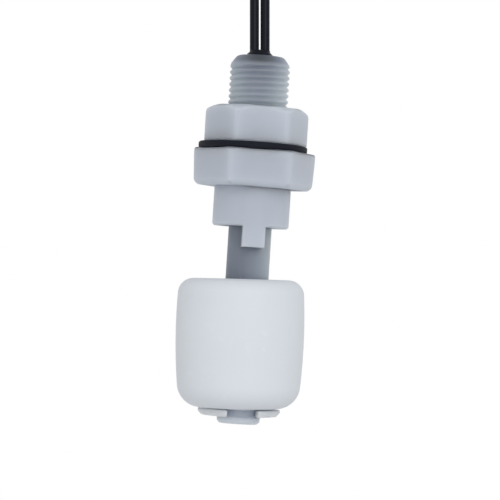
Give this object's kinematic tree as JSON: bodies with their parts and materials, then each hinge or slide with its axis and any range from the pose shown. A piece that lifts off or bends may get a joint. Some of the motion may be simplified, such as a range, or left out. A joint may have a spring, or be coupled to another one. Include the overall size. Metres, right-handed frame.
{
  "type": "float level switch",
  "caption": "Vertical float switch: a ring float slides on a closed plastic stem, under a hexagon flange with gasket, threaded shank, lock nut and two leads.",
  "frame": {"origin": "on the stem's axis, at the flange face that seals against the tank wall", "axes": "+Z along the stem towards the leads, out of the tank; the stop lugs face -Y and +Y, the snap ring opens towards -Y"},
  "size_m": [0.0216, 0.0214, 0.1127],
  "materials": {
    "natural_plastic": "satin moulded natural polypropylene",
    "white_plastic": "satin moulded white polypropylene",
    "ferrite": "dull dark grey sintered ferrite",
    "black_rubber": "matt black moulded rubber",
    "reed_glass": "clear greenish glass",
    "reed_alloy": "plated nickel iron",
    "clear_sleeve": "milky thin sleeve",
    "solder": "bright rounded solder",
    "shrink_tube": "matt black shrink tube",
    "tinned_copper": "tinned strands",
    "potting_compound": "glossy black epoxy",
    "lead_insulation": "glossy black PVC",
    "tie_plastic": "thin white plastic band"
  },
  "bodies": {
    "stem": {"stem_body": "natural_plastic", "gasket": "black_rubber", "retaining_clip": "natural_plastic", "reed_glass": "reed_glass", "reed_blade_upper": "reed_alloy", "reed_blade_lower": "reed_alloy", "reed_sleeve": "clear_sleeve", "solder_joint_upper": "solder", "solder_joint_lower": "solder", "heat_shrink_upper": "shrink_tube", "heat_shrink_lower": "shrink_tube", "conductor_a": "tinned_copper", "conductor_b": "tinned_copper", "potting_seal": "potting_compound", "lead_a": "lead_insulation", "lead_b": "lead_insulation", "lead_hank": "lead_insulation", "hank_tie": "tie_plastic", "tinned_tip_a": "tinned_copper", "tinned_tip_b": "tinned_copper"},
    "nut": {"lock_nut": "natural_plastic"},
    "float": {"float_shell": "white_plastic", "float_cap": "white_plastic", "float_magnet": "ferrite"}
  },
  "joints": [
    {"name": "float_slide", "type": "slide", "parent": "stem", "child": "float", "axis": [0, 0, 1], "range_m": [0, 0.0051]},
    {"name": "nut_travel", "type": "slide", "parent": "stem", "child": "nut", "axis": [0, 0, 1], "range_m": [0, 0.0135]}
  ]
}
